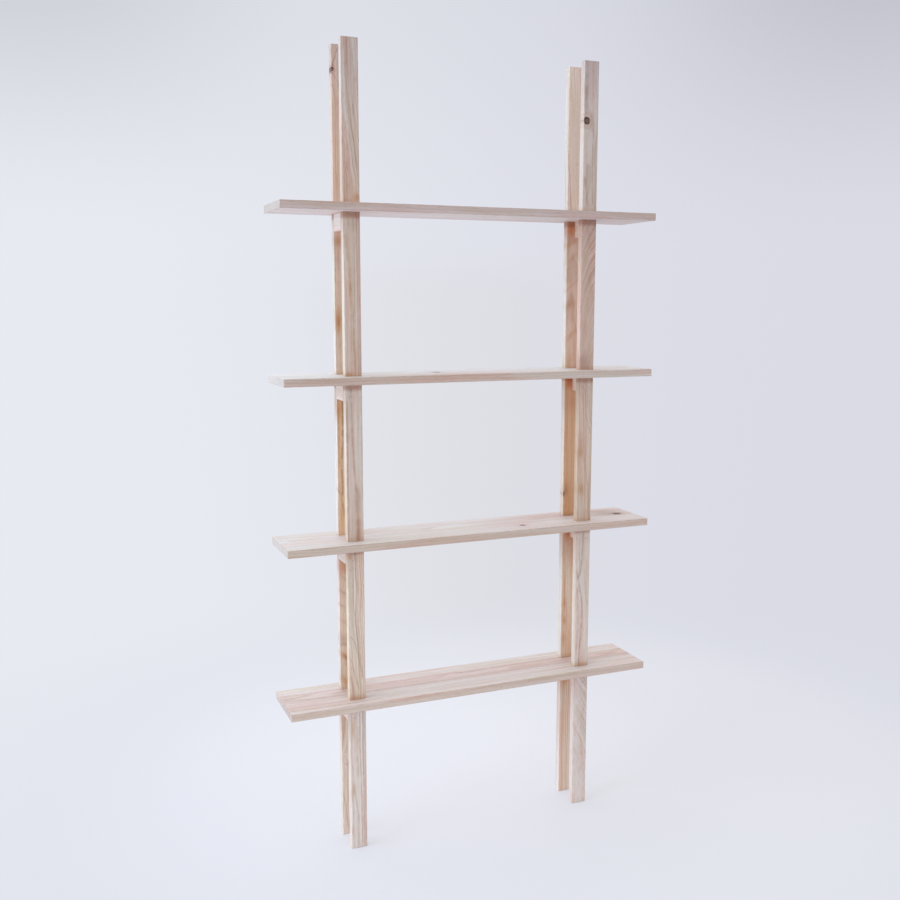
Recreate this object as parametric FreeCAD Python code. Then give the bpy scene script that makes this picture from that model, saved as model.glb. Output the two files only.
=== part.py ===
import FreeCAD, Part
import os

from FreeCAD import Placement, Rotation, Vector

# A tall, open bookshelf of planed pine, nailed together.  Each of its two spines is a
# stack of short frames, one under each shelf board: a front upright, a rear upright and
# a block between their tops.  The boards lie on the frames, the next frames stand on
# the boards, and four free posts stand on the top board.
#
# Millimetres.  X runs along the shelves, Y from front to rear, Z up.  The origin is on
# the floor, below the middle of the shelves.

# Shelf boards
shelf_length = 1000.0
shelf_depth = 170.0
shelf_thickness = 19.0
shelf_count = 4

# Laths: the stock of every upright, and of every block
lath_width = 42.0
lath_thickness = 19.0
arris = 1.0                 # planed off the long edges of boards and laths
eased_end = 0.6             # taken off round a sawn end that stays free

# Heights, from the floor up
leg_length = 381.0          # floor to the underside of the lowest board
bay_height = 389.0          # top of a board to the underside of the next
post_length = 376.0         # free uprights above the top board

# Place of the spines
overhang = 158.0            # end of a board to the outer side of a spine
spine_gap = 60.0            # front upright to rear upright, filled by the blocks

# Lost-head nails
nail_shank_radius = 1.15
nail_head_radius = 1.7
nail_head_height = 1.6      # the head tapers into the shank over this height
nail_point_length = 3.5
nail_sides = 8              # fine wire, drawn with flats instead of round
nail_fit = 0.03             # room round a nail in the wood
foot_nail_length = 55.0     # up through a board into the end of an upright
shelf_nail_length = 50.0    # down through a board into a block
block_nail_length = 45.0    # through an upright into the end of a block

# Nail places
foot_nail_spacing = 20.0    # across the end of an upright
shelf_nail_spacing = 30.0   # along a block
block_nail_spacing = 20.0   # up the end of a block
nail_row_offset = 3.5       # each row in a block, off the middle of its thickness
nail_stagger = 2.0          # front nails sit this much higher than the middle, rear lower

# Worked out from the sizes above
spine_outer_x = shelf_length / 2 - overhang
upright_x = spine_outer_x - lath_width / 2
block_x = spine_outer_x - lath_thickness / 2
upright_y = spine_gap / 2 + lath_thickness / 2

ALONG = Vector(1, 0, 0)
UP = Vector(0, 0, 1)
DOWN = Vector(0, 0, -1)
TO_REAR = Vector(0, 1, 0)
TO_FRONT = Vector(0, -1, 0)

SIDES = {"left": -1, "right": 1}
ROWS = {"front": -1, "rear": 1}


def shelf_bottom(level):
    """Height of the underside of a board; level 1 is the lowest board."""
    return leg_length + (level - 1) * (shelf_thickness + bay_height)


def shelf_top(level):
    return shelf_bottom(level) + shelf_thickness


def planed_timber(size_x, size_y, size_z, along, free_ends=()):
    """A sawn length of planed timber, centred in X and Y and standing on Z = 0.  Its four
    edges along the grain have an arris.  A free end, given by the direction that it faces,
    has its own edges eased, and the others stay square to butt against their neighbours."""
    corner = Vector(-size_x / 2, -size_y / 2, 0)
    stick = Part.makeBox(size_x, size_y, size_z, corner)
    long_edges = [edge for edge in stick.Edges
                  if edge.tangentAt(edge.FirstParameter).cross(along).Length < 1e-6]
    stick = stick.makeChamfer(arris, long_edges)
    for way in free_ends:
        end_face = max(stick.Faces, key=lambda face: face.CenterOfMass.dot(way))
        stick = stick.makeChamfer(eased_end, end_face.OuterWire.Edges)
    return stick


def moved(shape, x, y, z):
    copy = shape.copy()
    copy.translate(Vector(x, y, z))
    return copy


def nail_form(length, room=0.0):
    """A lost-head nail with its head at Z = 0 and its point down.  With room it is the
    hole that such a nail leaves in the wood."""
    shank = nail_shank_radius + room
    rings = [
        (nail_head_radius + room, room),
        (shank, -nail_head_height),
        (shank, nail_point_length - length),
    ]
    turns = [360 * side / nail_sides for side in range(nail_sides + 1)]
    rims = [[Rotation(UP, turn).multVec(Vector(radius, 0, height)) for turn in turns]
            for radius, height in rings]
    point = Vector(0, 0, -length - room)
    flats = [Part.Face(Part.makePolygon(rims[0]))]
    for upper, lower in zip(rims, rims[1:] + [[point] * len(turns)]):
        for side in range(nail_sides):
            corners = [upper[side], upper[side + 1], lower[side + 1], lower[side], upper[side]]
            if lower[side] == lower[side + 1]:
                del corners[3]
            flats.append(Part.Face(Part.makePolygon(corners)))
    return Part.makeSolid(Part.makeShell(flats))


def driven(form, x, y, z, way):
    """The nail or hole with its head at a point, driven along way."""
    turned = form.copy()
    turned.Placement = Placement(Vector(x, y, z), Rotation(DOWN, way))
    return turned


class NailGroup:
    """The nails of one node, and the holes that they need in the wood."""

    def __init__(self, length):
        self.form = nail_form(length)
        self.hole_form = nail_form(length, nail_fit)
        self.nails = []
        self.holes = []

    def drive(self, x, y, z, way):
        self.nails.append(driven(self.form, x, y, z, way))
        self.holes.append(driven(self.hole_form, x, y, z, way))


def foot_nails(level):
    """Up through a board into the four uprights that stand on it."""
    group = NailGroup(foot_nail_length)
    for side in SIDES.values():
        for row in ROWS.values():
            for step in (-0.5, 0.5):
                x = side * upright_x + step * foot_nail_spacing
                group.drive(x, row * upright_y, shelf_bottom(level), UP)
    return group


def shelf_nails(level):
    """Down through a board into the two blocks below it."""
    group = NailGroup(shelf_nail_length)
    for side in SIDES.values():
        for step in (-0.5, 0.5):
            x = side * (block_x + nail_row_offset)
            group.drive(x, step * shelf_nail_spacing, shelf_top(level), DOWN)
    return group


def block_nails(side, level):
    """Through the front and the rear upright into the ends of a block."""
    group = NailGroup(block_nail_length)
    x = side * (block_x - nail_row_offset)
    face_y = spine_gap / 2 + lath_thickness
    middle_z = shelf_bottom(level) - lath_width / 2
    for row, way in ((ROWS["front"], TO_REAR), (ROWS["rear"], TO_FRONT)):
        for step in (-0.5, 0.5):
            z = middle_z - row * nail_stagger + step * block_nail_spacing
            group.drive(x, row * face_y, z, way)
    return group


def shelf_board(level):
    board = planed_timber(shelf_length, shelf_depth, shelf_thickness, ALONG, (ALONG, -ALONG))
    return moved(board, 0, 0, shelf_bottom(level))


def upright(side, row, foot_z, length, free_ends=()):
    stick = planed_timber(lath_width, lath_thickness, length, UP, free_ends)
    return moved(stick, side * upright_x, row * upright_y, foot_z)


def block(side, level):
    """An offcut of lath on edge, flush with the outer sides of its two uprights."""
    offcut = planed_timber(lath_thickness, spine_gap, lath_width, TO_REAR)
    return moved(offcut, side * block_x, 0, shelf_bottom(level) - lath_width)


def wood_pieces():
    """Every piece of wood by name, before any nail is driven."""
    wood = {}
    for level in range(1, shelf_count + 1):
        wood[f"shelf_{level}"] = shelf_board(level)
    for side_name, side in SIDES.items():
        for row_name, row in ROWS.items():
            place = f"{side_name}_{row_name}"
            wood[f"leg_{place}"] = upright(side, row, 0, leg_length, [DOWN])
            for level in range(1, shelf_count):
                wood[f"upright_{place}_{level}"] = upright(side, row, shelf_top(level), bay_height)
            wood[f"post_{place}"] = upright(side, row, shelf_top(shelf_count), post_length, [UP])
        for level in range(1, shelf_count + 1):
            wood[f"block_{side_name}_{level}"] = block(side, level)
    return wood


def standing_on(level, place):
    """Name of the upright that stands on a board, or on the floor at level 0."""
    if level == 0:
        return f"leg_{place}"
    if level == shelf_count:
        return f"post_{place}"
    return f"upright_{place}_{level}"


def nail_plan():
    """Every nail group by name, each with the wood that its nails go into."""
    places = [f"{side_name}_{row_name}" for side_name in SIDES for row_name in ROWS]
    plan = {}
    for level in range(1, shelf_count + 1):
        board = f"shelf_{level}"
        feet = [standing_on(level, place) for place in places]
        blocks = [f"block_{side_name}_{level}" for side_name in SIDES]
        plan[f"foot_nails_{level}"] = (foot_nails(level), [board] + feet)
        plan[f"shelf_nails_{level}"] = (shelf_nails(level), [board] + blocks)
        for side_name, side in SIDES.items():
            frame = [standing_on(level - 1, f"{side_name}_{row_name}") for row_name in ROWS]
            plan[f"block_nails_{side_name}_{level}"] = (
                block_nails(side, level), [f"block_{side_name}_{level}"] + frame)
    return plan


wood = wood_pieces()
plan = nail_plan()

holes_in = {name: [] for name in wood}
for group, pierced in plan.values():
    for name in pierced:
        near = wood[name].BoundBox
        holes_in[name] += [hole for hole in group.holes if near.intersect(hole.BoundBox)]

nodes = {}
for name, piece in wood.items():
    nodes[name] = piece.cut(holes_in[name]) if holes_in[name] else piece
for name, (group, pierced) in plan.items():
    nodes[name] = Part.makeCompound(group.nails)

os.makedirs("parts", exist_ok=True)
for name, shape in nodes.items():
    shape.exportStep(f"parts/{name}.step")

whole = Part.makeCompound(list(nodes.values())).BoundBox
print(f"{len(nodes)} nodes, {whole.XLength:.0f} x {whole.YLength:.0f} x {whole.ZLength:.0f} mm")
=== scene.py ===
import math
from types import SimpleNamespace

import bpy
from mathutils import Matrix, Vector


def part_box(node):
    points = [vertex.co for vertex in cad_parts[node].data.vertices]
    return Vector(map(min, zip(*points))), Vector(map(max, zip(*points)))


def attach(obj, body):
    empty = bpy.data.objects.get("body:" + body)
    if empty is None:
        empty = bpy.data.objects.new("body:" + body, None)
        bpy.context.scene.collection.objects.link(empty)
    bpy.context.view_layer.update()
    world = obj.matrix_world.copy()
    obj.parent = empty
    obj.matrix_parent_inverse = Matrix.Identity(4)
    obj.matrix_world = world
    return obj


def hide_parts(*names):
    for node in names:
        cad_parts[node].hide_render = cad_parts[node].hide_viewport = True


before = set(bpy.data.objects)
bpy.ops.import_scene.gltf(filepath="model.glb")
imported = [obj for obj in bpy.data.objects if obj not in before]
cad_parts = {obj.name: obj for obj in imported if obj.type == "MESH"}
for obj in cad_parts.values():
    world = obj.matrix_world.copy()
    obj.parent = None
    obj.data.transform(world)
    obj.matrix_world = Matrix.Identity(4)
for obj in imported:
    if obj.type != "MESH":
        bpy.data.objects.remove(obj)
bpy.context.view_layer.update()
print("frame loaded:", len(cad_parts), "nodes")


def shade(red, green, blue):  # a colour as a paint card gives it, 0 to 255
    def linear(level):
        level /= 255
        return level / 12.92 if level < 0.04045 else ((level + 0.055) / 1.055) ** 2.4
    return (linear(red), linear(green), linear(blue), 1.0)


cameraSet = {
    "place": (-1.0527, -2.4454, 1.3952),
    "turn": 22.31,  # degrees to the right of square on
    "tilt": -8.18,  # degrees, looking down
    "lens": 41.35,
    "sensor": 36.0,
}


def makeCamera():
    data = bpy.data.cameras.new("camera")
    data.lens = cameraSet["lens"]
    data.sensor_width = cameraSet["sensor"]
    data.dof.use_dof = False
    camera = bpy.data.objects.new("camera", data)
    bpy.context.scene.collection.objects.link(camera)
    camera.location = cameraSet["place"]
    camera.rotation_euler = (
        math.radians(90 + cameraSet["tilt"]), 0, math.radians(-cameraSet["turn"]))
    bpy.context.scene.camera = camera


makeCamera()
bpy.context.scene.view_settings.view_transform = "Standard"
print("camera set")


# A wire carries a number, a vector, a colour or a shader out of one node of a material, and
# sums and products of wires are worked out by Math nodes.
class Wire:
    def __init__(self, socket):
        self.socket = socket
        self.tree = socket.id_data
        self.isNumber = socket.type == "VALUE"

    def __add__(self, other):
        return calc("ADD", self, other)

    def __sub__(self, other):
        return calc("SUBTRACT", self, other)

    def __rsub__(self, other):
        return calc("SUBTRACT", other, self)

    def __mul__(self, other):
        return calc("MULTIPLY", self, other)

    def __truediv__(self, other):
        return calc("DIVIDE", self, other)

    def axis(self, name):
        node = addNode(self.tree, "SeparateXYZ")
        feed(node.inputs[0], self)
        return Wire(node.outputs[name])

    def step(self, low, high, outLow=0.0, outHigh=1.0):  # a smooth step from low to high
        node = addNode(self.tree, "MapRange", interpolation_type="SMOOTHSTEP")
        for socket, value in zip(node.inputs, (self, low, high, outLow, outHigh)):
            feed(socket, value)
        return Wire(node.outputs["Result"])

    def bell(self):  # 1 where the wire is 0, fading to 0 on both sides
        return calc("EXPONENT", calc("POWER", self, 2.0) * -1.0)

    def noise(self, scale=1.0, detail=2.0, output="Fac"):
        node = addNode(self.tree, "TexNoise", noise_dimensions="1D" if self.isNumber else "3D")
        feed(node.inputs["W" if self.isNumber else "Vector"], self)
        feed(node.inputs["Scale"], scale)
        feed(node.inputs["Detail"], detail)
        return Wire(node.outputs[output])


def addNode(tree, kind, **settings):
    node = tree.nodes.new("ShaderNode" + kind)
    for name, value in settings.items():
        setattr(node, name, value)
    return node


def feed(socket, value):
    if isinstance(value, Wire):
        value.tree.links.new(value.socket, socket)
    elif socket.type == "VECTOR" and isinstance(value, float):
        socket.default_value = (value, value, value)
    else:
        socket.default_value = value


def calc(operation, *values):
    tree = next(value.tree for value in values if isinstance(value, Wire))
    isNumber = all(getattr(value, "isNumber", isinstance(value, (int, float))) for value in values)
    node = addNode(tree, "Math" if isNumber else "VectorMath", operation=operation)
    for socket, value in zip(node.inputs, values):
        feed(socket, value)
    toNumber = isNumber or operation in ("LENGTH", "DOT_PRODUCT")
    return Wire(node.outputs["Value" if toNumber else "Vector"])


def combine(**parts):  # a vector, which is 0 along the axes that aren't given
    node = addNode(next(iter(parts.values())).tree, "CombineXYZ")
    for axis, value in parts.items():
        feed(node.inputs[axis.upper()], value)
    return Wire(node.outputs["Vector"])


def blend(share, first, second, how="MIX"):
    node = addNode(share.tree, "Mix", data_type="RGBA", blend_type=how)
    feed(node.inputs["Factor"], share)
    feed(node.inputs[6], first)  # the colour pair of the Mix node
    feed(node.inputs[7], second)
    return Wire(node.outputs[2])


def stained(colour, share, stain):
    return blend(share, colour, stain, "MULTIPLY")


def newGroup(name, inputs, outputs):
    tree = bpy.data.node_groups.new(name, "ShaderNodeTree")
    kinds = {"vector": "NodeSocketVector", "number": "NodeSocketFloat", "colour": "NodeSocketColor"}
    for way, labels in (("INPUT", inputs), ("OUTPUT", outputs)):
        for kind, names in labels.items():
            for label in names.split():
                tree.interface.new_socket(label, in_out=way, socket_type=kinds[kind])
    given = tree.nodes.new("NodeGroupInput")
    result = tree.nodes.new("NodeGroupOutput")
    return tree, SimpleNamespace(**wiresOf(given)), result.inputs


def wiresOf(node):  # all but the spare socket of a group, which has no name
    return {socket.name: Wire(socket) for socket in node.outputs if socket.name}


def feedAll(sockets, **values):
    for label, value in values.items():
        feed(sockets[label], value)


def useGroup(group, **values):
    node = addNode(values["place"].tree, "Group", node_tree=group)
    feedAll(node.inputs, **values)
    return SimpleNamespace(**wiresOf(node))


# The figure of pine is worked out in each piece's own millimetres: across its wide face,
# through its thickness, and along the grain from its lower, left or front end.
# In the dictionaries below, two numbers are where a smooth step starts and ends, and where
# there are four, the last two are what it goes from and to.
faceOnly = (1.0, 0.0, 1.0)  # leaves out the thickness
sectionOnly = (1.0, 1.0, 0.0)  # leaves out the length

bendSet = {
    "knot": (1.0, 0.0, 0.84),  # a knot is a little longer along the grain than across
    "grain": (1.0, 0.0, 0.42),  # and the bend round it is longer still
}


def makeKnotBend():  # the grain flows round a knot, or is drawn to one side by it
    tree, given, result = newGroup(
        "grain round a knot",
        {"vector": "place centre", "number": "radius pull reach"},
        {"vector": "place", "number": "distance"})
    away = given.place - given.centre
    span = calc("LENGTH", away * bendSet["grain"])
    near = given.radius / calc("MAXIMUM", span, given.radius)
    around = away.axis("X") * calc("POWER", near, 2.0)
    drawn = (span / given.reach).bell() * given.pull
    feedAll(result, place=given.place - combine(x=around + drawn),
            distance=calc("LENGTH", away * bendSet["knot"]))
    return tree


def makeHill():  # 1 at a spot on the wide face, fading to 0 round it
    tree, given, result = newGroup("hill", {"vector": "place centre size"}, {"number": "share"})
    away = (given.place - given.centre) / given.size
    feed(result["share"], calc("LENGTH", away * faceOnly).bell())
    return tree


def makeSwell():  # the years bulge towards the face or bend aside, which draws flames on it
    tree, given, result = newGroup(
        "swell in the grain",
        {"vector": "place centre size", "number": "lift pull"},
        {"vector": "place"})
    hill = useGroup(spotHill, place=given.place, centre=given.centre, size=given.size).share
    shift = combine(x=hill * (given.pull * -1.0), y=hill * given.lift)
    feed(result["place"], given.place + shift)
    return tree


yearSet = {
    "waves": (((0.014, 0.014, 0.0050), 2.6), ((0.06, 0.06, 0.018), 0.6)),  # closeness, share
    "apart": 37.0,  # how far two seeds lie from each other in the noise
    "unevenPace": 0.31,  # how fast the width of the years changes
    "uneven": 2.4,
    "bandPace": 0.40,
    "lateStart": (0.30, 0.88),  # a year darkens between these shares of it
    "lateEnd": (0.93, 1.0, 1.0, 0.0),
}


def makeYears():  # the growth rings round the heart of the tree
    tree, given, result = newGroup(
        "years of growth",
        {"vector": "place heart lean", "number": "ringWidth wander seed"},
        {"number": "late ringTone radius band", "vector": "grain"})
    place, seed = given.place, given.seed
    farAway = combine(x=seed, y=seed, z=seed) * yearSet["apart"]
    wavy = place
    for closeness, share in yearSet["waves"]:
        wave = ((place + farAway) * closeness).noise(output="Color")
        wavy = wavy + (wave - 0.5) * (given.wander * share)
    offset = wavy - given.heart - given.lean * place.axis("Z")
    radius = calc("LENGTH", offset * sectionOnly)
    count = radius / given.ringWidth
    uneven = (count * yearSet["unevenPace"] + seed).noise(detail=1.0)
    rings = count + uneven * yearSet["uneven"]
    phase = calc("FRACT", rings)
    chance = addNode(tree, "TexWhiteNoise", noise_dimensions="1D")
    feed(chance.inputs["W"], calc("FLOOR", rings) + seed)
    feedAll(result, late=phase.step(*yearSet["lateStart"]) * phase.step(*yearSet["lateEnd"]),
            ringTone=Wire(chance.outputs["Value"]), radius=radius, grain=offset + farAway,
            band=(count * yearSet["bandPace"] + seed).noise(detail=1.0))
    return tree


# Patterns that follow the grain: how close they are across, through and along it, and how
# much fine detail they have.
grainPatterns = {
    "streak": ((0.11, 0.11, 0.0035), 2.0),
    "cloud": ((0.03, 0.03, 0.009), 2.0),
    "tint": ((0.045, 0.045, 0.003), 1.0),
    "fibre": ((2.6, 2.6, 0.035), 3.0),
    "duct": ((1.1, 1.1, 0.06), 0.0),
}
# What they stain: the levels of the pattern at which a stain starts and is full, its
# greatest strength, and its colour.
grainStains = (
    ("streak", 0.50, 0.66, 0.55, shade(246, 235, 221)),  # long streaks the colour of straw
    ("tint", 0.52, 0.66, 1.0, shade(255, 244, 241)),  # pink heartwood
    ("tint", 0.48, 0.36, 1.0, shade(251, 250, 244)),  # and olive between
    ("fibre", 0.42, 0.7, 0.6, shade(240, 232, 226)),
    ("duct", 0.68, 0.8, 0.6, shade(220, 200, 186)),  # short dark resin ducts
)
pineSet = {
    "heartWaver": 14.0,  # mm by which streaks move the heartwood's edge
    "heartFade": (2.0, 14.0, 1.0, 0.0),
    # painted light: the pale colour of a rear lath's left side, which faces the lamps, and of a
    # strip down its left edge
    "sapEdge": shade(236, 230, 227),
    "litEdgeWaver": 0.5,
    "litEdgeFade": (-0.5, 1.0, 1.0, 0.0),
    "yearTones": (0.1, 0.9, 0.45, 1.0),  # some years are strong and some faint
    "cloudTones": (0.32, 0.62, 0.7, 1.0),
    "yearBand": shade(243, 230, 224),  # a few dark years together
    "bandLevels": (0.42, 0.64),
    "jointTop": shade(210, 176, 160),  # painted shade where a piece meets the board over it
    "topReach": (9.0, 20.0),
    # painted shade at the foot of a piece, where it stands on the board under it
    "jointFoot": shade(236, 216, 194),
    "footReach": (0.0, 16.0),
    "sawnEnd": shade(187, 171, 164),
    "sawnShare": 0.7,
    "rubbedCorner": shade(232, 221, 212),
    "rubbedSize": 0.05,  # how close the rubbed stretches are
    "rubbedLevels": (0.35, 0.75),
    "rubbedReach": 0.9,  # mm from the corner
    "rubbedShare": 0.75,
}
finishSet = {
    "roughness": 0.44,
    "fibreRoughness": 0.16,
    "lateGloss": 0.10,
    "endRoughness": 0.22,
    "planerPitch": 2.1,  # radians per mm of the ripple that the planer leaves
    "planerRelief": 0.05,
    "lateRelief": 0.5,
    "rubbedRelief": 0.6,
    "bumpStrength": 0.6,
    "bumpDepth": 0.00006,  # metres
    "ior": 1.45,
}


def makePlanedPine():
    tree, given, result = newGroup(
        "planed pine",
        {"vector": "place figurePlace heart lean middle halfSize",
         "number": "ringWidth wander seed heartwood contrast endGrain sapEdge jointTop jointFoot",
         "colour": "sapColour heartColour lateColour"},
        {"colour": "colour", "number": "roughness height"})
    place, halfSize, contrast = given.place, given.halfSize, given.contrast
    years = useGroup(growthYears, place=given.figurePlace, heart=given.heart, lean=given.lean,
                     ringWidth=given.ringWidth, wander=given.wander, seed=given.seed)
    pattern = {name: (years.grain * closeness).noise(detail=detail)
               for name, (closeness, detail) in grainPatterns.items()}

    # heartwood inside, sapwood outside, with a wavering edge
    inner = years.radius + pattern["streak"] * pineSet["heartWaver"] - given.heartwood
    colour = blend(inner.step(*pineSet["heartFade"]), given.sapColour, given.heartColour)

    # painted light: a rear lath is pale on its left side, which faces the lamps, and down a
    # strip by its left edge, beside the painted warm shade of its tone
    fromEdge = place.axis("X") + halfSize.axis("X") + pattern["cloud"] * pineSet["litEdgeWaver"]
    edge = (fromEdge - given.sapEdge).step(*pineSet["litEdgeFade"])
    colour = blend(edge, colour, pineSet["sapEdge"])

    # the dark late wood of each year
    strength = years.late * years.ringTone.step(*pineSet["yearTones"])
    late = strength * pattern["cloud"].step(*pineSet["cloudTones"]) * contrast
    colour = stained(colour, late, given.lateColour)
    band = years.band.step(*pineSet["bandLevels"]) * contrast
    colour = stained(colour, band, pineSet["yearBand"])
    for name, low, high, most, stain in grainStains:
        colour = stained(colour, pattern[name].step(low, high, 0.0, most), stain)

    fromMiddle = place - given.middle
    # painted shade at the top of a piece, under the board over it, and at its foot on the board
    # under it
    toTop = halfSize.axis("Z") - fromMiddle.axis("Z")
    top = toTop.step(*pineSet["topReach"], given.jointTop, 0.0)
    foot = place.axis("Z").step(*pineSet["footReach"], given.jointFoot, 0.0)
    colour = stained(stained(colour, top, pineSet["jointTop"]), foot, pineSet["jointFoot"])

    # sawn ends are greyer, and the long corners are a little rubbed
    colour = blend(given.endGrain * pineSet["sawnShare"], colour, pineSet["sawnEnd"])
    inside = halfSize - calc("ABSOLUTE", fromMiddle)
    across, deep, length = (inside.axis(name) for name in "XYZ")
    most = calc("MAXIMUM", calc("MAXIMUM", across, deep), length)
    least = calc("MINIMUM", calc("MINIMUM", across, deep), length)
    corner = across + deep + length - most - least
    rubbed = (place * pineSet["rubbedSize"]).noise(detail=4.0).step(*pineSet["rubbedLevels"])
    wear = (corner - rubbed * pineSet["rubbedReach"]).step(
        0.0, pineSet["rubbedReach"], pineSet["rubbedShare"], 0.0)
    colour = stained(colour, wear, pineSet["rubbedCorner"])

    rough = pattern["fibre"] * finishSet["fibreRoughness"] + finishSet["roughness"]
    rough = rough - late * finishSet["lateGloss"] + given.endGrain * finishSet["endRoughness"]
    ripple = calc("SINE", length * finishSet["planerPitch"]) * finishSet["planerRelief"]
    height = years.late * finishSet["lateRelief"] + pattern["fibre"] + ripple
    feedAll(result, colour=colour, roughness=rough,
            height=height - wear * finishSet["rubbedRelief"])
    return tree


streakSet = {
    "pace": 0.035,  # how fast a streak wavers along the grain
    "waver": 1.6,  # mm
    "fade": 14.0,  # mm over which each end fades
    "tones": (0.3, 0.6, 0.55, 1.0),
}


def makeStreak():  # one dark streak that follows the grain
    tree, given, result = newGroup(
        "dark streak",
        {"vector": "place", "number": "across width strength start end seed",
         "colour": "colour stain"},
        {"colour": "colour"})
    along, start, end = given.place.axis("Z"), given.start, given.end
    uneven = (along * streakSet["pace"] + given.seed).noise(detail=3.0)
    off = given.place.axis("X") + (uneven - 0.5) * streakSet["waver"] - given.across
    share = (off / given.width).bell()
    for part in (along.step(start - streakSet["fade"], start),
                 along.step(end, end + streakSet["fade"], 1.0, 0.0),
                 uneven.step(*streakSet["tones"]), given.strength):
        share = share * part
    feed(result["colour"], stained(given.colour, share, given.stain))
    return tree


blotSet = {"closeness": (0.09, 0.09, 0.03), "waver": 6.0}


def makeBlot():  # a soft stain; tilt turns a wide one across the piece
    tree, given, result = newGroup(
        "blot",
        {"vector": "place centre size", "number": "tilt strength", "colour": "colour stain"},
        {"colour": "colour"})
    place = given.place
    wavy = (place * blotSet["closeness"]).noise() * blotSet["waver"]
    along = place.axis("Z") + wavy - place.axis("X") * given.tilt
    hill = useGroup(spotHill, place=combine(x=place.axis("X"), z=along),
                    centre=given.centre, size=given.size).share
    feed(result["colour"], stained(given.colour, hill * given.strength, given.stain))
    return tree


# Levels are shares of the knot's radius, where no note says otherwise.
knotSet = {
    "halo": shade(238, 206, 192),
    "haloFade": (1.0, 2.4, 0.5, 0.0),
    "ringRise": (1.75, 2.05),  # the broken dark ring in the grain round it
    "ringFall": (2.1, 2.5, 1.0, 0.0),
    "year": shade(160, 126, 112),
    "lateYear": shade(122, 86, 76),
    "years": 17.0,  # radians of its years per radius
    "face": (0.86, 1.0, 1.0, 0.0),
    "rim": shade(58, 40, 36),
    "rimRise": (0.58, 0.80),
    "rimFall": (0.98, 1.14, 1.0, 0.0),
    "rimDepth": 1.6,
    "ragged": 0.9,
    "raggedSize": 0.34,  # how close the noise is that breaks the outline
    "raggedLevels": (0.4, 0.6),  # of that noise
    "rottenSize": 0.22,
    "rottenLevels": (0.46, 0.56, 0.0, 0.6),
    "bend": 1.35,  # the grain bends round this much of the radius
    "reach": 6,  # and is drawn aside as far as this
}


def makeKnot():
    tree, given, result = newGroup(
        "knot",
        {"vector": "place", "number": "distance radius dark height", "colour": "colour"},
        {"colour": "colour", "number": "height"})
    ragged = (given.place * knotSet["raggedSize"]).noise()
    share = given.distance / given.radius + (ragged - 0.5) * knotSet["ragged"]
    ring = share.step(*knotSet["ringRise"]) * share.step(*knotSet["ringFall"])
    broken = ring * ragged.step(*knotSet["raggedLevels"])
    halo = calc("MAXIMUM", share.step(*knotSet["haloFade"]), broken)
    colour = stained(given.colour, halo, knotSet["halo"])
    years = calc("SINE", share * knotSet["years"])
    face = blend(years.step(-1.0, 1.0), knotSet["year"], knotSet["lateYear"])
    rotten = (given.place * knotSet["rottenSize"]).noise(detail=3.0)
    face = blend(rotten.step(*knotSet["rottenLevels"]) * given.dark, face, knotSet["rim"])
    colour = blend(share.step(*knotSet["face"]), colour, face)
    rim = share.step(*knotSet["rimRise"]) * share.step(*knotSet["rimFall"]) * given.dark
    feedAll(result, colour=blend(rim, colour, knotSet["rim"]),
            height=given.height - rim * knotSet["rimDepth"])
    return tree


spotHill = makeHill()
knotBend = makeKnotBend()
grainSwell = makeSwell()
growthYears = makeYears()
planedPine = makePlanedPine()
darkStreak = makeStreak()
softBlot = makeBlot()
knotLook = makeKnot()
print("pine figure ready")

stains = {
    "brown": shade(196, 174, 164),
    "orange": shade(232, 196, 156),
    "tan": shade(236, 216, 190),
    "pink": shade(236, 206, 201),
    "olive": shade(236, 232, 212),
    "grey": shade(212, 206, 204),
    "cool": shade(204, 208, 226),
    "red": shade(236, 176, 136),
    "paintedLight": shade(268, 270, 270),  # lighter than the wood round it: painted light
    "ashen": shade(253, 259, 270),
}
# The rear laths take the warm and orange tones, which are painted warm shade from light bouncing
# between the laths.
tones = {  # of a tree's sapwood and heartwood; warm and orange add painted warm shade
    "pale": {"sap": shade(231, 223, 218), "heart": shade(232, 217, 211)},
    "pink": {"sap": shade(231, 223, 218), "heart": shade(227, 209, 203)},
    "warm": {"sap": shade(233, 215, 202), "heart": shade(231, 204, 187)},
    "orange": {"sap": shade(226, 195, 165), "heart": shade(220, 183, 150)},
}
lateColour = shade(188, 162, 148)
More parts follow.
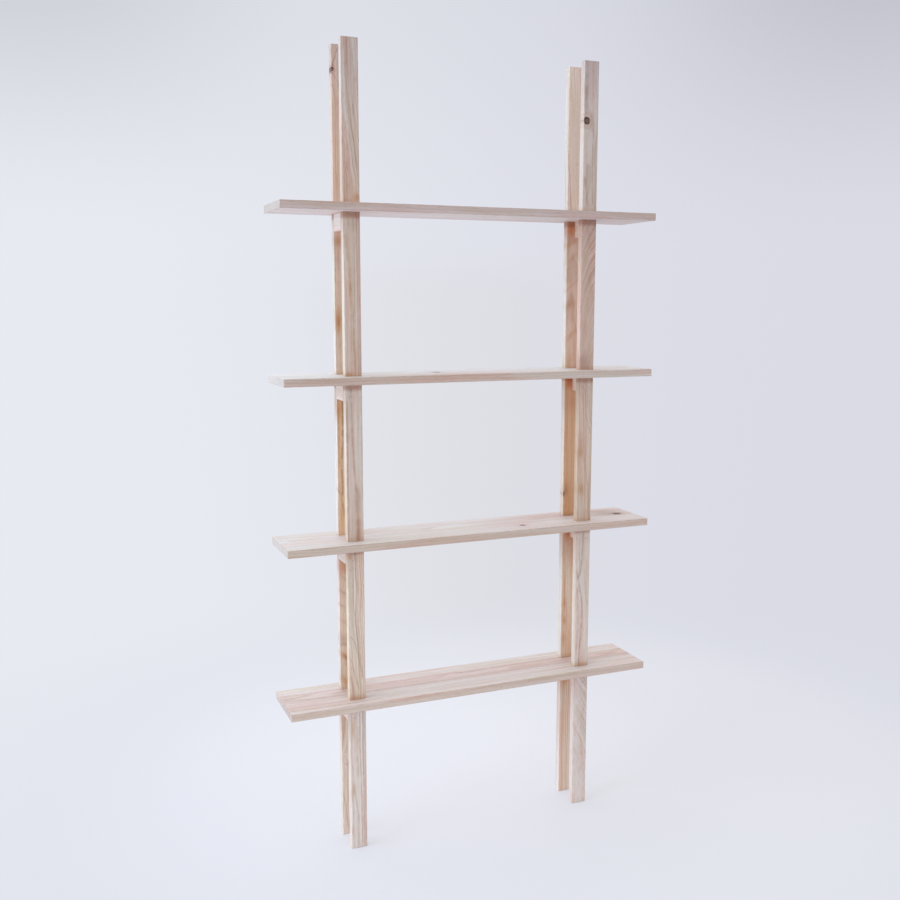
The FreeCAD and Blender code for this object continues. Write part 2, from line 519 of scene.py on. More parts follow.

# Each piece of wood, in its own millimetres:
# "tint" what its tone is multiplied by, partly the piece's own colour and partly painted
# light and shade, "tone" one of those above;
# "heart" where the heart of the tree runs, across and behind the middle of the piece, and
# "lean" how far it drifts for each millimetre of length;
# "rings" the width of a year, "wander" how much the grain waves, "contrast" how strong the
# late wood is, "heartwood" the radius of the heartwood, "sapEdge" the width of a pale
# strip of painted light down the left edge;
# "knots" (across, along, radius, darkness, pull on the grain);
# "swells" (across, along, width, length, lift, pull aside);
# "calms" (across, along, width, length, share), where the years fade;
# "streaks" (width, strength, stain, path), the path in steps of (along, across);
# "blots" (across, along, width, length, tilt, strength, stain);
# "leftSide" (strength, stain), all down the narrow left side, which faces the lamps; a stain
# lighter than the wood there is painted light;
# "jointTop" and "jointFoot" how strong the painted shade is under the board
# over it and at its foot on the board under it.
cuts = {
    "post_left_front": {
        "tint": (0.95, 0.91, 0.88), "heart": (60, 55), "rings": 3.4, "wander": 7, "contrast": 0.55,
        "swells": [(24, 20, 45, 130, 0, 22)],
        "streaks": [
            (2.1, 0.4, "brown", [(376, -6), (250, -7), (205, -3), (180, 1), (142, 8), (84, 16),
                                 (50, 24)]),
            (2.1, 0.35, "brown", [(334, 7), (272, 9), (209, 7)]),
            (2, 0.35, "brown", [(217, 8), (175, 15), (142, 21)]),
            (1.9, 0.4, "pink", [(180, -11), (142, -8), (92, -3), (42, 2)]),
            (1.9, 0.35, "brown", [(160, -4), (109, 3), (67, 10), (42, 20)]),
        ],
        "blots": [(14, 19, 8, 9, 0, 0.8, "orange"), (-8, 42, 4, 14, 0, 0.6, "olive"),
                  (-9, 88, 4, 16, 0, 0.6, "pink"), (0, 380, 60, 130, 0, 0.3, "cool"),
                  (0, 0, 60, 190, 0, 0.2, "tan")],
    },
    "post_left_rear": {
        "tint": (1.09, 0.96, 0.86), "heart": (40, 50), "rings": 5.0, "wander": 5, "contrast": 0.35,
        "knots": [(-19.4, 318, 3.9, 1, -14)],
        "streaks": [
            (1.1, 0.9, "brown", [(318, -20), (345, -13), (368, -4)]),
            (1.4, 0.8, "brown", [(167, -1), (238, -2), (280, -4), (301, -13), (308, -18)]),
            (1.9, 0.4, "pink", [(260, -14), (20, -14)]),
            (1.5, 0.35, "brown", [(250, -8), (20, -8)]),
        ],
        "blots": [(0, 385, 60, 110, 0, 0.5, "cool"), (-21, 200, 1.5, 1000, 0, 0.25, "cool")],
    },
    "post_right_front": {
        "tint": (0.88, 0.84, 0.84), "heart": (-8, 60), "rings": 5.0, "wander": 5, "contrast": 0.28,
        "knots": [(-12, 228, 7.9, 1, 0)],
        "streaks": [
            (5, 0.5, "brown", [(376, -14), (250, -15)]),
            (2.5, 0.45, "pink", [(376, 4), (272, 5), (196, 8)]),
            (1.8, 0.6, "brown", [(200, 8), (125, 6), (25, 9)]),
            (1.9, 0.4, "grey", [(376, 12), (300, 13)]),
            (3.2, 0.45, "brown", [(80, -14), (21, -6)]),
        ],
        "blots": [(-14, 80, 4, 14, 0, 0.6, "pink"), (0, 380, 60, 90, 0, 0.35, "cool")],
        "leftSide": [(1.0, "paintedLight")],
    },
    "post_right_rear": {
        "tint": (1.14, 1.19, 1.28), "heart": (-60, 40), "lean": (0.0, 0.05), "rings": 4.6,
        "wander": 4, "contrast": 0.5, "tone": "warm", "sapEdge": 1.6,
        "leftSide": [(0.2, "pink")],
    },
    "upright_left_front_3": {
        "tint": (0.93, 0.87, 0.83), "heart": (-40, 42), "rings": 4.6, "wander": 5,
        "contrast": 0.25,
        "streaks": [
            (1.6, 0.55, "brown", [(389, 4), (220, 6), (90, 2), (20, 5)]),
            (1.5, 0.35, "brown", [(389, 12), (0, 12.5)]),
            (1.8, 0.4, "brown", [(389, 17.6), (0, 17)]),
            (5.6, 0.6, "tan", [(330, -14), (281, -9), (246, -4), (207, -3), (130, -3), (65, -2)]),
        ],
        "blots": [(-6, 212, 3.5, 28, 0, 0.6, "orange"), (-12, 5, 10, 8, 0, 0.7, "orange"),
                  (9, 60, 4, 50, 0, 0.4, "tan")],
        "leftSide": [(1.0, "paintedLight")],
    },
    "upright_left_rear_3": {
        "tint": (1.10, 1.06, 1.02), "heart": (40, 40), "rings": 4.4, "wander": 4, "contrast": 0.3,
        "tone": "warm", "sapEdge": 2.0,
        "streaks": [
            (3.8, 0.5, "grey", [(320, -10), (0, -10)]),
            (1.5, 0.35, "brown", [(320, -18), (0, -18)]),
        ],
        # the orange blot at 330 is painted warm shade under the block
        "blots": [(-13, 132, 6, 26, 0, 0.9, "orange"), (-11, 330, 12, 14, 0, 0.7, "orange"),
                  (-12, 142, 12, 28, 0, 0.4, "orange"), (-17, 326, 4, 16, 0, 0.4, "grey"),
                  (-3, 326, 4, 16, 0, 0.4, "grey")],
        "leftSide": [(0.15, "pink")],
    },
    "upright_right_front_3": {
        "tint": (0.88, 0.75, 0.71), "heart": (50, 40), "lean": (0.0, 0.2), "rings": 1.9,
        "wander": 4, "contrast": 1.0,
        "calms": [(0, 70, 40, 120, 0.8), (-22, 250, 16, 200, 0.6)],
        "blots": [(-10, 112, 9, 24, 0, 0.35, "pink"), (-8, 26, 16, 22, 0, 0.45, "brown")],
        "leftSide": [(0.85, "paintedLight")],
    },
    "upright_right_rear_3": {
        "tint": (1.03, 0.95, 0.93), "heart": (-10, 50), "lean": (0.0, 0.05), "rings": 4.4,
        "wander": 5, "contrast": 0.3, "tone": "warm", "sapEdge": 1.6,
        # the red and orange blots at the top are painted warm shade under the board
        "blots": [(-9, 372, 14, 24, 0, 1.0, "red"), (-4, 340, 30, 8, 0.5, 0.5, "orange"),
                  (-4, 300, 14, 8, 0.8, 0.6, "tan"), (-8, 250, 10, 16, 0.6, 0.6, "olive"),
                  (0, 228, 40, 5, 0.8, 0.4, "pink"), (-10, 178, 12, 12, 0.5, 0.6, "orange"),
                  (-2, 97, 16, 9, 0.8, 0.7, "tan"), (-8, 26, 16, 18, 0.4, 0.6, "tan")],
    },
    "upright_left_front_2": {
        "tint": (0.95, 0.90, 0.86), "heart": (30, 44), "rings": 5.0, "wander": 5, "contrast": 0.16,
        "streaks": [
            (2.8, 0.6, "brown", [(376, -7), (324, -6), (246, -3.5), (181, -1), (125, 4)]),
            (7.5, 0.55, "brown", [(125, 4.4), (112, 5), (69, 6.5), (0, 7)]),
            (2.4, 0.3, "orange", [(345, -17), (160, -17)]),
            (1.5, 0.3, "brown", [(290, 19), (120, 19)]),
            (2.4, 0.55, "brown", [(340, -17.5), (0, -18)]),
            (1.5, 0.3, "brown", [(389, -12), (300, -12.5)]),
        ],
        "blots": [(7, 30, 4, 40, 0, 0.6, "orange"), (-13, 270, 5, 20, 0, 0.5, "olive"),
                  (10, 120, 5, 20, 0, 0.3, "pink"), (0, 60, 40, 90, 0, 0.18, "orange"),
                  (13, 250, 8, 110, 0, 0.9, "ashen")],
        "leftSide": [(0.7, "paintedLight")],
    },
    "upright_left_rear_2": {
        "tint": (1.23, 1.39, 1.41), "heart": (50, 20), "rings": 4.4, "wander": 4, "contrast": 0.4,
        "tone": "orange", "sapEdge": 1.8,
        "streaks": [
            (2.5, 0.5, "brown", [(345, -16), (180, -16)]),
            (2.6, 1.0, "brown", [(345, -5.5), (229, -7), (179, -9.5), (128, -8.5), (110, -9)]),
            (2.2, 0.6, "brown", [(112, -17), (91, -11), (60, -6)]),
        ],
        "blots": [(-16, 130, 3, 16, 0, 0.5, "pink"), (-14, 325, 8, 30, 0, 0.8, "orange"),
                  (-10, 55, 7, 60, 0, 0.5, "orange")],
    },
    "upright_right_front_2": {
        "tint": (0.95, 0.91, 0.85), "heart": (80, 30), "rings": 3.0, "wander": 4, "contrast": 0.6,
        "streaks": [
            (2.4, 0.4, "brown", [(363, -11), (302, -7), (238, -4.4), (173, -1), (130, 4.4),
                                 (86, 10.5), (22, 10.5)]),
            (1.5, 0.4, "brown", [(350, -2), (302, 1), (268, 6), (245, 14)]),
            (1.5, 0.4, "brown", [(350, 4), (310, 7), (280, 14), (262, 20)]),
            (1.5, 0.35, "brown", [(350, 10), (310, 12), (290, 17)]),
            (1.6, 0.35, "brown", [(120, 14), (0, 14)]),
            (1.6, 0.35, "brown", [(130, 19), (0, 18.5)]),
        ],
        "blots": [(-12, 190, 9, 17, 0, 1.0, "tan"), (-11, 91, 11, 18, 0, 1.0, "tan"),
                  (-12, 220, 5, 20, 0, 0.5, "pink")],
        "leftSide": [(0.25, "orange")],
    },
    "upright_right_rear_2": {
        "tint": (1.05, 0.97, 0.92), "heart": (80, 40), "rings": 3.6, "wander": 3, "contrast": 0.3,
        "tone": "orange", "sapEdge": 1.6,
        # the red blot at the top is painted warm shade under the board
        "blots": [(-5, 374, 14, 20, 0, 1.0, "red"), (-4, 318, 18, 26, 0, 0.5, "pink"),
                  (-12, 74, 8, 16, 0, 0.5, "brown"), (-18.4, 66, 2, 6, 0, 1.0, "brown"),
                  (-18.6, 64, 1.7, 5, 0, 1.0, "brown"), (-18.2, 68, 1.5, 4, 0, 1.0, "brown"),
                  (-4, 40, 14, 60, 0, 0.35, "orange")],
        "leftSide": [(0.15, "pink")],
    },
    "upright_left_front_1": {
        "tint": (1.09, 1.07, 1.01), "heart": (70, 30), "rings": 3.0, "wander": 8, "contrast": 0.8,
        "swells": [(-30, 20, 38, 100, 0, 22), (-16, 338, 5, 8, 10, 0)],
        "calms": [(-23, 190, 5, 2000, 0.9)],
        "streaks": [
            (1.6, 0.55, "brown", [(163, -14), (147, -5), (108, 4), (78, 9)]),
            (1.6, 0.55, "brown", [(103, -16), (91, -12), (61, -5), (35, 2)]),
            (2, 0.55, "brown", [(60, -17), (40, -13), (10, -9)]),
            (1.5, 0.4, "brown", [(380, -4), (300, -8), (220, -6), (150, 2), (60, 14)]),
            (1.9, 0.6, "pink", [(300, 4), (240, 7), (195, 5), (130, 10), (60, 12)]),
            (3, 0.7, "tan", [(389, -22), (0, -22)]),
        ],
        "blots": [(-6, 6, 18, 9, 0, 0.5, "orange"), (-16, 372, 6, 6, 0, 0.7, "orange"),
                  (-14, 290, 7, 160, 0, 0.45, "grey")],
    },
    "upright_left_rear_1": {
        "tint": (1.03, 1.04, 1.00), "heart": (-46, 60), "rings": 5.0, "wander": 5,
        "contrast": 0.25, "tone": "warm", "sapEdge": 1.6,
        "blots": [(-4, 334, 14, 14, -0.8, 0.7, "orange"), (0, 290, 14, 5, -0.9, 0.45, "brown"),
                  (-10, 255, 14, 6, -0.6, 0.4, "brown"), (-14, 217, 10, 4, -0.7, 0.35, "brown"),
                  (0, 180, 40, 6, -0.5, 0.4, "pink"), (-6, 122, 16, 5, -0.2, 0.5, "brown"),
                  (-2, 84, 18, 9, -0.9, 1.0, "orange"), (-2, 82, 18, 9, -0.9, 0.35, "brown"),
                  (-6, 18, 18, 12, -0.8, 0.7, "orange"), (2, 66, 10, 5, -0.9, 0.5, "brown"),
                  (-8, 318, 30, 16, -0.6, 0.5, "red"), (-12, 133, 30, 12, -0.4, 0.35, "brown"),
                  (0, 150, 60, 170, 0, 0.06, "orange")],
        "leftSide": [(0.15, "grey")],
    },
    "upright_right_front_1": {
        "tint": (0.97, 0.93, 0.92), "heart": (44, 44), "rings": 5.4, "wander": 6, "contrast": 0.14,
        "streaks": [
            (2.6, 0.65, "brown", [(372, -1), (333, -2), (277, -6), (255, -12)]),
            (2, 0.5, "brown", [(363, -11), (324, -11.5), (281, -9), (262, -8)]),
            (2.2, 0.7, "brown", [(262, -16), (225, -9), (194, -2.6), (156, 0), (108, -1),
                                 (78, -3.5), (43, -7), (5, -8)]),
            (2.5, 0.8, "pink", [(216, -15), (173, -13), (130, -11.4), (86, -13.2), (43, -16)]),
            (1.9, 0.5, "grey", [(302, 6), (246, 7), (207, 10), (177, 16)]),
        ],
        "blots": [(14, 200, 7, 90, 0, 0.4, "olive"), (0, 6, 24, 8, 0, 0.35, "orange")],
        "leftSide": [(0.35, "paintedLight")],
    },
    "upright_right_rear_1": {
        "tint": (1.04, 1.00, 0.91), "heart": (50, 50), "rings": 4.6, "wander": 4, "contrast": 0.3,
        "tone": "warm", "sapEdge": 2.0,
        "streaks": [
            (1.5, 0.5, "red", [(340, -16), (280, -15)]),
            (1.8, 0.6, "red", [(350, 8), (270, 12)]),
        ],
        "blots": [(-11, 160, 5, 22, 0, 0.9, "orange"), (-11, 112, 6, 14, 0, 0.9, "orange"),
                  (-13, 60, 5, 20, 0, 0.7, "orange"), (-12, 215, 3, 30, 0, 0.7, "orange"),
                  # the red blot at the top is painted warm shade under the board
                  (-3, 366, 16, 26, 0, 1.0, "red"), (0, 330, 24, 40, 0, 0.4, "pink"),
                  (0, 330, 40, 60, 0, 0.25, "grey"), (-3, 215, 6, 90, 0, 1.0, "ashen"),
                  # the lighter blot on a stretch of the face is painted light
                  (-3, 215, 6, 90, 0, 0.35, "paintedLight")],
    },
    "leg_left_front": {
        "tint": (1.01, 1.01, 1.02), "heart": (60, 40), "rings": 4.6, "wander": 5, "contrast": 0.35,
        "streaks": [
            (1.5, 0.55, "brown", [(356, 4.4), (254, 5.3), (127, 7), (64, 8.8), (0, 7)]),
            (1.5, 0.55, "brown", [(370, 12.3), (0, 12.6)]),
            (1.5, 0.4, "brown", [(381, 17.6), (0, 17.8)]),
            (3.1, 0.6, "tan", [(320, -0.5), (200, -1.5)]),
            (2, 0.45, "brown", [(169, -11.4), (127, -7), (93, -2.6), (59, -1.8), (10, -2)]),
        ],
        "blots": [(-14, 326, 4.5, 24, 0, 0.8, "tan"), (-14, 161, 4.5, 20, 0, 0.9, "tan"),
                  (-16, 53, 4, 14, 0, 0.6, "pink")],
    },
    "leg_left_rear": {
        "tint": (1.03, 0.97, 0.92), "heart": (20, 40), "lean": (0.0, 0.05), "rings": 4.6,
        "wander": 6, "contrast": 0.4,
        "swells": [(-15, 210, 6, 18, 12, 0)],
        "streaks": [
            (1.9, 0.5, "pink", [(318, -17), (275, -17)]),
            (2, 0.45, "brown", [(110, -18), (60, -11), (20, -6)]),
        ],
        "leftSide": [(0.13, "grey")],
    },
    "leg_right_front": {
        "tint": (0.97, 0.96, 0.98), "heart": (-50, 40), "lean": (0.0, 0.27), "rings": 1.6,
        "wander": 5, "contrast": 0.85,
        "calms": [(-8, 40, 34, 110, 0.85), (-22, 240, 20, 200, 0.85)],
        "streaks": [(2.2, 0.5, "orange", [(200, -2), (169, 6), (140, 8), (119, 10.6)])],
    },
    "leg_right_rear": {
        "tint": (1.03, 1.04, 1.02), "heart": (60, 40), "rings": 3.8, "wander": 4,
        "contrast": 0.55, "tone": "warm", "sapEdge": 2.0,
        # the red blot at the top is painted warm shade under the board
        "blots": [(-7, 348, 16, 24, 0, 0.95, "red"), (-8, 230, 12, 70, 0, 0.2, "orange"),
                  (-7, 310, 16, 30, 0, 0.15, "orange")],
        "leftSide": [(0.9, "paintedLight"), (0.15, "cool")],
    },
    "shelf_1": {
        "tint": (1.05, 1.06, 1.11), "heart": (15, -52), "rings": 4.6, "wander": 4.5,
        "contrast": 0.32, "heartwood": 68, "tone": "pink",
        "streaks": [
            (5, 0.22, "brown", [(0, 58), (300, 60), (640, 55), (1000, 57)]),
            (3.8, 0.3, "brown", [(0, 36), (500, 30), (1000, 36)]),
            (3.8, 0.3, "brown", [(0, 0), (400, -10), (700, -7), (1000, -4)]),
            (3.8, 0.8, "tan", [(0, -62), (120, -66), (230, -64)]),
        ],
        # the grey blot over the front half of the top is painted shade, leaving the back lighter
        "blots": [(-86, 500, 4, 1500, 0, 0.42, "tan"), (-40, 480, 70, 2000, 0, 0.3, "grey"),
                  (-86, 800, 4, 350, 0, 0.2, "brown"), (-55, 60, 40, 140, 0, 0.25, "pink"),
                  (0, 640, 30, 160, 0, 0.15, "pink")],
    },
    "shelf_2": {
        "tint": (1.02, 1.04, 1.10), "heart": (24, -60), "rings": 4.4, "wander": 4.5,
        "contrast": 0.25, "heartwood": 30,
        "knots": [(-35.5, 645, 7, 0.1, 0), (1.7, 956, 9, 1, 0)],
        "blots": [(40, 800, 30, 160, 0, 0.6, "pink"), (24, 940, 40, 60, 0, 0.55, "brown"),
                  (0, 640, 45, 90, 0, 0.35, "pink"), (-86, 500, 4, 1500, 0, 0.5, "tan"),
                  # the last grey blot, over the front of the top, is painted shade, leaving the
                  # back lighter
                  (-86, 500, 4, 1500, 0, 0.2, "brown"), (-60, 500, 45, 2000, 0, 0.1, "grey")],
    },
    "shelf_3": {
        "tint": (1.06, 1.15, 1.26), "heart": (-8, -64), "rings": 4.4, "wander": 4.5,
        "contrast": 0.25, "heartwood": 30,
        "knots": [(14, 419, 8.5, 1, 0)],
        "blots": [(-85, 560, 14, 500, 0, 0.2, "grey"), (-86, 400, 4, 1500, 0, 0.5, "tan"),
                  (14, 419, 9, 34, 0, 0.5, "grey"), (-50, 440, 40, 220, 0, 0.4, "pink"),
                  (-60, 400, 40, 160, 0, 0.3, "tan"), (-86, 60, 4, 250, 0, 0.35, "brown"),
                  # the lighter blot at the back of the left end is a painted sheen
                  (-86, 900, 4, 250, 0, 0.15, "brown"), (70, 0, 50, 220, 0, 0.65, "paintedLight"),
                  (-55, 500, 35, 1500, 0, 0.1, "tan")],
    },
    "shelf_4": {
        "tint": (1.02, 0.99, 1.04), "heart": (10, 66), "rings": 4.6, "wander": 4.5,
        "contrast": 0.28, "heartwood": 30,
        # the grey over the right end is painted shade and the lighter blot at the left end painted
        # light; the thin grey at the left end darkens the end face again
        "blots": [(-86, 500, 4, 1500, 0, 0.4, "brown"), (0, 950, 120, 320, 0, 0.25, "grey"),
                  (-86, 60, 4, 200, 0, 0.15, "brown"), (0, 0, 70, 600, 0, 0.6, "paintedLight"),
                  (0, 2, 200, 3, 0, 0.34, "grey")],
    },
    # the blocks' tints, mostly above 1, are partly their own tone and partly painted light, as they
    # stand in shade under the boards
    "block_left_1": {"tint": (1.04, 0.99, 0.97)},
    "block_left_2": {"tint": (1.00, 0.97, 0.99)},
    "block_left_3": {"tint": (1.09, 1.04, 1.03)},
    "block_left_4": {"tint": (1.14, 1.13, 1.15)},
    "block_right_1": {"tint": (1.02, 0.98, 0.97)},
    "block_right_2": {"tint": (1.08, 1.01, 0.98)},
    "block_right_3": {"tint": (1.14, 1.04, 0.99)},
    "block_right_4": {"tint": (1.14, 1.03, 0.96)},
}

# what holds for each kind of piece, and for every piece that says nothing else
kindCuts = {
    "block": {"heart": (60, 50), "contrast": 0.14},
    # the legs, uprights and posts take painted shade where they meet the boards
    "leg": {"jointTop": 0.4},
    "upright": {"jointTop": 0.8, "jointFoot": 0.6},
    "post": {"jointFoot": 0.6},
}
cutDefaults = {
    "tone": "pale", "heart": (20, 48), "lean": (0.0, 0.0), "rings": 4.4, "wander": 5,
    "contrast": 0.45, "heartwood": 26, "sapEdge": -10,
    "knots": [], "swells": [], "calms": [], "streaks": [], "blots": [], "leftSide": [],
    "jointTop": 0.0, "jointFoot": 0.0,
}
sideBlot = (-21.5, 195, 1.3, 1000, 0)  # across, along, width, length, tilt

# the way the grain runs in each kind of piece, as the object's axes in the piece's order:
# across the wide face, through the thickness, along the grain
grainWays = {
    "shelf": Matrix(((0, 1, 0), (0, 0, 1), (1, 0, 0))),
    "block": Matrix(((0, 0, 1), (1, 0, 0), (0, 1, 0))),
}
uprightWay = Matrix.Identity(3)
millimetres = 1000.0
streakReach = 100.0  # mm to either side of the middle that a streak's path may run
endFacing = (0.6, 0.9)  # how squarely a face looks along the grain to be end grain
seedSet = {"figure": 1.37, "firstFigure": 0.5, "streak": 3.1}


def kindOf(name):
    return name.split("_")[0]


def spotAt(across, along, width, length):
    return {"centre": (across, 0, along), "size": (width, 1, length)}


def streakPath(place, path, length):  # how far across a streak is, at each place along it
    node = addNode(place.tree, "FloatCurve")
    curve = node.mapping.curves[0]
    steps = [(along / length, across / streakReach / 2 + 0.5) for along, across in sorted(path)]
    for along, across in steps[1:-1]:
        curve.points.new(along, across)
    curve.points[0].location = steps[0]
    curve.points[-1].location = steps[-1]
    node.mapping.update()
    feed(node.inputs["Value"], place.axis("Z") / length)
    return (Wire(node.outputs["Value"]) - 0.5) * (2 * streakReach)


def addBump(shader, height, depth, strength=1.0):
    bump = addNode(height.tree, "Bump")
    feed(bump.inputs["Strength"], strength)
    feed(bump.inputs["Distance"], depth)
    feed(bump.inputs["Height"], height)
    feed(shader.inputs["Normal"], Wire(bump.outputs["Normal"]))


def linkOutput(tree, surface, kind="Material"):
    out = addNode(tree, "Output" + kind)
    feed(out.inputs["Surface"], surface)


def emptyMaterial(name):
    material = bpy.data.materials.new(name)
    material.use_nodes = True
    material.node_tree.nodes.clear()
    return material, material.node_tree


def pineMaterial(name, order):
    cut = {**cutDefaults, **kindCuts.get(kindOf(name), {}), **cuts[name]}
    low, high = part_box(name)
    way = grainWays.get(kindOf(name), uprightWay)
    size = Vector([abs(length) for length in way @ (high - low)]) * millimetres
    foot = way @ ((low + high) / 2) * millimetres - Vector((0, 0, size.z / 2))

    material, tree = emptyMaterial("pine_" + name)
    seen = wiresOf(addNode(tree, "TexCoord"))
    mapping = addNode(tree, "Mapping", vector_type="POINT")
    feed(mapping.inputs["Vector"], seen["Object"])
    feed(mapping.inputs["Scale"], millimetres)
    feed(mapping.inputs["Rotation"], way.to_euler())
    feed(mapping.inputs["Location"], -foot)
    place = Wire(mapping.outputs["Vector"])
    facing = calc("DOT_PRODUCT", seen["Normal"], way.transposed() @ Vector((0, 0, 1)))

    figurePlace = place
    for *spot, lift, pull in cut["swells"]:
        figurePlace = useGroup(
            grainSwell, place=figurePlace, **spotAt(*spot), lift=lift, pull=pull).place
    contrast = cut["contrast"]
    for *spot, share in cut["calms"]:
        hill = useGroup(spotHill, place=place, **spotAt(*spot)).share
        contrast = (1.0 - hill * share) * contrast
    knots = []
    for across, along, radius, dark, pull in cut["knots"]:
        bend = useGroup(knotBend, place=figurePlace, centre=(across, 0, along),
                        radius=radius * knotSet["bend"], pull=pull,
                        reach=radius * knotSet["reach"])
        figurePlace = bend.place
        knots.append({"distance": bend.distance, "radius": radius, "dark": dark})

    sapColour, heartColour = (
        tuple(level * share for level, share in zip(tones[cut["tone"]][part], (*cut["tint"], 1.0)))
        for part in ("sap", "heart"))
    surface = useGroup(
        planedPine, place=place, figurePlace=figurePlace, heart=(*cut["heart"], 0),
        lean=(*cut["lean"], 0), ringWidth=cut["rings"], wander=cut["wander"],
        seed=order * seedSet["figure"] + seedSet["firstFigure"], heartwood=cut["heartwood"],
        contrast=contrast, sapColour=sapColour, heartColour=heartColour, lateColour=lateColour,
        middle=(0, 0, size.z / 2), halfSize=size / 2,
        endGrain=calc("ABSOLUTE", facing).step(*endFacing), sapEdge=cut["sapEdge"],
        jointTop=cut["jointTop"], jointFoot=cut["jointFoot"])
    colour, height = surface.colour, surface.height
    for number, (width, strength, stain, path) in enumerate(cut["streaks"]):
        colour = useGroup(
            darkStreak, place=place, across=streakPath(place, path, size.z), width=width,
            strength=strength, start=min(path)[0], end=max(path)[0],
            seed=order + number * seedSet["streak"], colour=colour, stain=stains[stain]).colour
    sides = [(*sideBlot, *side) for side in cut["leftSide"]]
    for *spot, tilt, strength, stain in cut["blots"] + sides:
        colour = useGroup(softBlot, place=place, **spotAt(*spot), tilt=tilt, strength=strength,
                          colour=colour, stain=stains[stain]).colour
    for knot in knots:
        looks = useGroup(knotLook, place=place, colour=colour, height=height, **knot)
        colour, height = looks.colour, looks.height

    shader = addNode(tree, "BsdfPrincipled")
    feed(shader.inputs["IOR"], finishSet["ior"])
    feed(shader.inputs["Base Color"], colour)
    feed(shader.inputs["Roughness"], surface.roughness)
    addBump(shader, height, finishSet["bumpDepth"], finishSet["bumpStrength"])
    linkOutput(tree, Wire(shader.outputs["BSDF"]))
    return material


timberSet = {
    "join": 0.00001,  # metres; corners this close are one
    "flat": 1.0,  # degrees; faces closer than this are one face
    "rounding": 0.00035,  # metres, rubbed off every corner
    "steps": 2,
    "corner": 25.0,  # degrees; sharper edges are rounded
}


def selectOnly(piece):
    bpy.ops.object.select_all(action="DESELECT")
    piece.select_set(True)
    bpy.context.view_layer.objects.active = piece


def planedPiece(name, order):
    piece = bpy.data.objects.new("planed_" + name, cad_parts[name].data.copy())
    bpy.context.scene.collection.objects.link(piece)
    selectOnly(piece)
    bpy.ops.object.mode_set(mode="EDIT")
    bpy.ops.mesh.select_all(action="SELECT")
    bpy.ops.mesh.remove_doubles(threshold=timberSet["join"])
    bpy.ops.mesh.dissolve_limited(angle_limit=math.radians(timberSet["flat"]))
    bpy.ops.object.mode_set(mode="OBJECT")
    rounding = piece.modifiers.new("rounding", "BEVEL")
    rounding.width = timberSet["rounding"]
    rounding.segments = timberSet["steps"]
    rounding.limit_method = "ANGLE"
    rounding.angle_limit = math.radians(timberSet["corner"])
    bpy.ops.object.modifier_apply(modifier="rounding")
    bpy.ops.object.shade_smooth()
    even = piece.modifiers.new("even", "WEIGHTED_NORMAL")
    even.keep_sharp = True
    bpy.ops.object.modifier_apply(modifier="even")
    piece.data.materials.clear()
    piece.data.materials.append(pineMaterial(name, order))
    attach(piece, "root")
    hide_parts(name)


woodNames = [name for name in sorted(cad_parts) if "nails" not in name]
for order, name in enumerate(woodNames):
    planedPiece(name, order)
print("timber planed:", len(woodNames), "pieces")

nailSet = {
    "bright": shade(196, 182, 172),
    "dull": shade(168, 152, 142),
    "fineness": 900.0,
    "dullLevels": (0.35, 0.7),
    "polish": (0.3, 0.8, 0.34, 0.6),  # two levels of the dulling, and their roughness
    "pits": 0.00005,  # metres
}


def steelMaterial():
    material = bpy.data.materials.new("nail_steel")
    material.use_nodes = True
    tree = material.node_tree
    shader = tree.nodes["Principled BSDF"]
    place = wiresOf(addNode(tree, "TexCoord"))["Object"]
    dull = place.noise(nailSet["fineness"], detail=3.0)
    feed(shader.inputs["Metallic"], 1.0)
    feed(shader.inputs["Base Color"], blend(
        dull.step(*nailSet["dullLevels"]), nailSet["bright"], nailSet["dull"]))
    feed(shader.inputs["Roughness"], dull.step(*nailSet["polish"]))
    addBump(shader, dull, nailSet["pits"])
    return material


nailSteel = steelMaterial()
for name in sorted(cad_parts):
    if "nails" in name:
        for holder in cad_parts[name].material_slots:
            holder.material = nailSteel
print("nails finished")

paperSet = {
    # the backdrop is painted lighter on the left than on the right, where less light falls on it
    "left": shade(232, 234, 242),
    "right": shade(218, 219, 229),
    "toRight": (0.92, -0.38, 0.0),
    "turn": (-0.35, 0.35),  # left turns to right between these
    "warm": shade(253, 252, 249),  # the middle, multiplied by this
    "warmAside": (0.02, 0.22, 1.0, 0.0),
    "warmHeight": (0.0, 0.06, 1.0, 0.0),
    "dim": shade(218, 218, 219),  # the corners above, multiplied by this
    "dimAside": (0.08, 0.36, 0.25, 1.0),
    "dimHeight": (0.05, 0.36),
}
floorSet = {
    "radius": 40.0,
    "sides": 96,
    "sideways": 2.0,  # metres over which left turns to right
    "near": shade(225, 228, 237),
    "nearRadius": (0.5, 2.4),
    "pool": shade(238, 240, 249),  # a painted pool of light, the brightest spot, behind the feet
    "poolPlace": (0.05, 0.45, 0.0),
    "poolRadius": (0.15, 0.9),
    "shaded": shade(227, 224, 230),
    "shadowPlace": (0.35, 0.3, 0.0),
    "shadowRadius": (0.8, 1.5, 0.5, 0.0),  # the shelves' shadow fades out between these
    "bounceNear": shade(243, 245, 252),  # what the floor throws back on the shelves
    "bounceFar": shade(186, 187, 195),
    "bounceRadius": (0.8, 3.0),
}


def shownRays(tree):  # rays that look at the surroundings, straight or in a gloss
    path = wiresOf(addNode(tree, "LightPath"))
    share = calc("MAXIMUM", path["Is Camera Ray"], path["Is Glossy Ray"])
    return calc("MAXIMUM", share, path["Is Transmission Ray"])


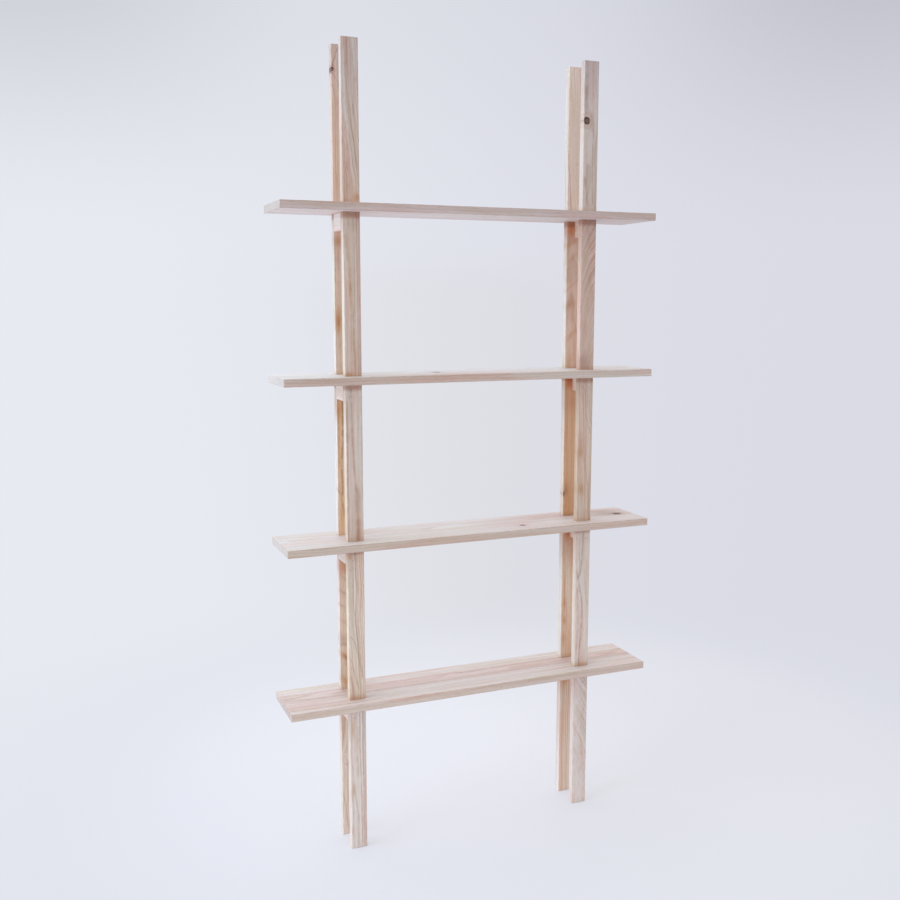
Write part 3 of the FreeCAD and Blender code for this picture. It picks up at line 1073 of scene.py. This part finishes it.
def paperColour(way):
    toRight, height = calc("DOT_PRODUCT", way, paperSet["toRight"]), way.axis("Z")
    aside = calc("ABSOLUTE", toRight)
    colour = blend(toRight.step(*paperSet["turn"]), paperSet["left"], paperSet["right"])
    warm = aside.step(*paperSet["warmAside"]) * height.step(*paperSet["warmHeight"])
    dim = height.step(*paperSet["dimHeight"]) * aside.step(*paperSet["dimAside"])
    return stained(stained(colour, warm, paperSet["warm"]), dim, paperSet["dim"])


def surfaceOf(tree, kind, colour=None):
    node = addNode(tree, kind)
    if colour is not None:
        feed(node.inputs["Color"], colour)
    return Wire(node.outputs[0])


def mixShaders(share, first, second):
    node = addNode(share.tree, "MixShader")
    for socket, value in zip(node.inputs, (share, first, second)):
        feed(socket, value)
    return Wire(node.outputs[0])


def makeFloor():
    bpy.ops.object.select_all(action="DESELECT")
    bpy.ops.mesh.primitive_circle_add(
        vertices=floorSet["sides"], radius=floorSet["radius"], fill_type="NGON")
    floor = bpy.context.object
    floor.name = "paper_floor"
    material, tree = emptyMaterial("paper")
    spot = wiresOf(addNode(tree, "NewGeometry"))
    place = spot["Position"]
    distance = calc("LENGTH", place)
    colour = blend(distance.step(*floorSet["nearRadius"]), floorSet["near"],
                   paperColour(place / (distance + floorSet["sideways"])))
    fromPool = calc("LENGTH", place - floorSet["poolPlace"])
    glow = surfaceOf(tree, "Emission", blend(
        fromPool.step(*floorSet["poolRadius"]), floorSet["pool"], colour))
    shaded = surfaceOf(tree, "BsdfDiffuse", floorSet["shaded"])
    fromShadow = calc("LENGTH", place - floorSet["shadowPlace"])
    shown = mixShaders(fromShadow.step(*floorSet["shadowRadius"]), glow, shaded)
    bounce = surfaceOf(tree, "BsdfDiffuse", blend(
        distance.step(*floorSet["bounceRadius"]), floorSet["bounceNear"], floorSet["bounceFar"]))
    above = mixShaders(shownRays(tree), bounce, shown)
    below = surfaceOf(tree, "BsdfTransparent")
    linkOutput(tree, mixShaders(spot["Backfacing"], above, below))
    floor.data.materials.append(material)


lightSet = {
    "level": (0.86, 0.845, 0.83),
    "fromRight": (-0.04, -0.035, -0.03),  # added by how far a way points right, rear or up
    "fromRear": (0.28, 0.32, 0.335),
    "fromAbove": (0.165, 0.165, 0.155),
    "least": (0.02, 0.02, 0.02),
}
lamps = {
    "key": {"place": (-5.2, -0.4, 3.2), "aim": (0, 0, 1), "size": 4.0, "power": 194.0,
            "colour": (0.45, 0.77, 1.0)},
    "side": {"place": (-4.6, -1.2, 1.2), "aim": (0, 0, 1), "size": 3.0, "power": 36.0,
             "colour": (1.0, 0.84, 0.72)},
}


def makeSurroundings():
    world = bpy.data.worlds.new("studio")
    bpy.context.scene.world = world
    world.use_nodes = True
    tree = world.node_tree
    tree.nodes.clear()
    way = wiresOf(addNode(tree, "TexCoord"))["Generated"]
    light = lightSet["level"]
    for part, axis in (("fromRight", "X"), ("fromRear", "Y"), ("fromAbove", "Z")):
        light = way.axis(axis) * lightSet[part] + light
    lighting = surfaceOf(tree, "Background", calc("MAXIMUM", light, lightSet["least"]))
    paper = surfaceOf(tree, "Background", paperColour(way))
    linkOutput(tree, mixShaders(shownRays(tree), lighting, paper), "World")


def makeLamp(name, lamp):
    data = bpy.data.lights.new(name, "AREA")
    data.size = lamp["size"]
    data.energy = lamp["power"]
    data.color = lamp["colour"]
    holder = bpy.data.objects.new(name, data)
    bpy.context.scene.collection.objects.link(holder)
    place, aim = Vector(lamp["place"]), Vector(lamp["aim"])
    holder.location = place
    holder.rotation_euler = (aim - place).to_track_quat("-Z", "Y").to_euler()
    holder.visible_camera = False
    holder.visible_glossy = False


makeFloor()
makeSurroundings()
for name, lamp in lamps.items():
    makeLamp(name, lamp)
print("stage and light set")
